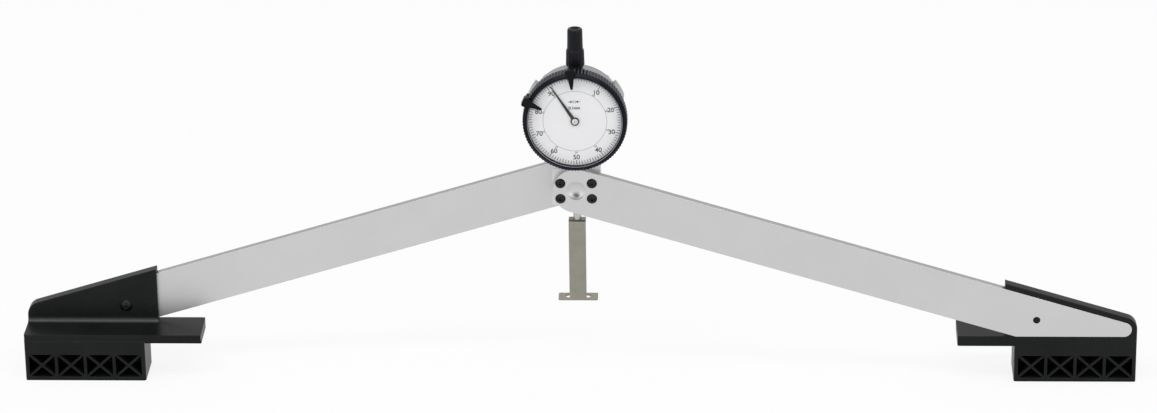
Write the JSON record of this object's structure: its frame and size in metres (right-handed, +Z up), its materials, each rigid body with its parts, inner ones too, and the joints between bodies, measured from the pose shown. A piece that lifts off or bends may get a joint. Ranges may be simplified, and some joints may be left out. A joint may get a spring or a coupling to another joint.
{
  "type": "wheel dishing gauge",
  "caption": "Two-legged wheel dishing gauge with stepped plastic feet, a central dial indicator and a sprung contact bracket that measures hub offset from the rim.",
  "frame": {"origin": "on the axis of the indicator stem, in the plane of the two pads", "axes": "+X along the tool, +Y from the dial to the back, +Z up along the spindle"},
  "size_m": [0.616, 0.0324, 0.2038],
  "materials": {
    "arm_aluminium": "bead-blasted and clear anodised",
    "block_aluminium": "milled and anodised",
    "foot_plastic": "fine-textured black moulding",
    "black_screw": "black oxide",
    "case_metal": "satin silver-grey",
    "stem_steel": "ground and plated",
    "bush_brass": "turned",
    "cap_plastic": "moulded",
    "movement_brass": "stamped",
    "spring_steel": "drawn wire",
    "screw_steel": "plain",
    "bracket_nickel": "satin nickel plate",
    "pointer_black": "satin black",
    "bezel_plastic": "knurled, satin",
    "crystal_clear": "clear",
    "dial_white": "printed off-white",
    "marker_black": "moulded"
  },
  "bodies": {
    "frame": {"left_arm": "arm_aluminium", "right_arm": "arm_aluminium", "centre_block": "block_aluminium", "front_arm_screws": "black_screw", "rear_arm_screws": "black_screw", "left_foot": "foot_plastic", "right_foot": "foot_plastic", "foot_screws": "black_screw", "stem_clamp_screw": "black_screw", "gauge_case": "case_metal", "gauge_stem": "stem_steel", "upper_bush": "bush_brass", "dust_cap": "cap_plastic", "back_cover": "case_metal", "back_cover_screws": "screw_steel", "front_plate": "movement_brass", "rear_plate": "movement_brass", "centre_bridge": "movement_brass", "pin_guide": "movement_brass", "return_spring": "spring_steel", "retaining_ring": "spring_steel"},
    "plunger": {"rack_spindle": "stem_steel", "guide_pin": "screw_steel", "contact_bracket": "bracket_nickel", "bracket_screw": "screw_steel"},
    "rack_gear": {"rack_arbor": "movement_brass"},
    "pointer_hand": {"centre_arbor": "movement_brass", "pointer": "pointer_black"},
    "takeup_gear": {"takeup_arbor": "movement_brass", "hairspring": "spring_steel"},
    "bezel_group": {"bezel": "bezel_plastic", "crystal": "crystal_clear", "dial_face": "dial_white"},
    "top_marker": {"top_limit_marker": "marker_black"},
    "side_marker": {"side_limit_marker": "marker_black"}
  },
  "joints": [
    {"name": "plunger_slide", "type": "slide", "parent": "frame", "child": "plunger", "axis": [0, 0, 1], "range_m": [0, 0.02], "stiffness_N_per_m": 40, "springref_m": -0.02, "deforming": ["return_spring"]},
    {"name": "rack_gear_spin", "type": "hinge", "parent": "frame", "child": "rack_gear", "pos_m": [-0.00488, 0, 0.14786], "axis": [0, 1, 0], "range_deg": [-365, 5]},
    {"name": "pointer_spin", "type": "hinge", "parent": "frame", "child": "pointer_hand", "pos_m": [0, 0, 0.15542], "axis": [0, 1, 0], "range_deg": [-5, 725]},
    {"name": "takeup_gear_spin", "type": "hinge", "parent": "frame", "child": "takeup_gear", "pos_m": [0.00488, 0, 0.16298], "axis": [0, 1, 0], "range_deg": [-365, 5]},
    {"name": "bezel_turn", "type": "hinge", "parent": "frame", "child": "bezel_group", "pos_m": [0, 0, 0.15542], "axis": [0, 1, 0], "range_deg": [-94, 164]},
    {"name": "top_marker_turn", "type": "hinge", "parent": "bezel_group", "child": "top_marker", "pos_m": [0, 0, 0.15542], "axis": [0, 1, 0], "range_deg": [-20, 164]},
    {"name": "side_marker_turn", "type": "hinge", "parent": "bezel_group", "child": "side_marker", "pos_m": [0, 0, 0.15542], "axis": [0, 1, 0], "range_deg": [-94, 20]}
  ],
  "couplings": [
    {"joint": "rack_gear_spin", "follows": "plunger_slide", "rad_per_m": -314.16},
    {"joint": "pointer_spin", "follows": "plunger_slide", "rad_per_m": 628.32},
    {"joint": "takeup_gear_spin", "follows": "plunger_slide", "rad_per_m": -314.16}
  ]
}
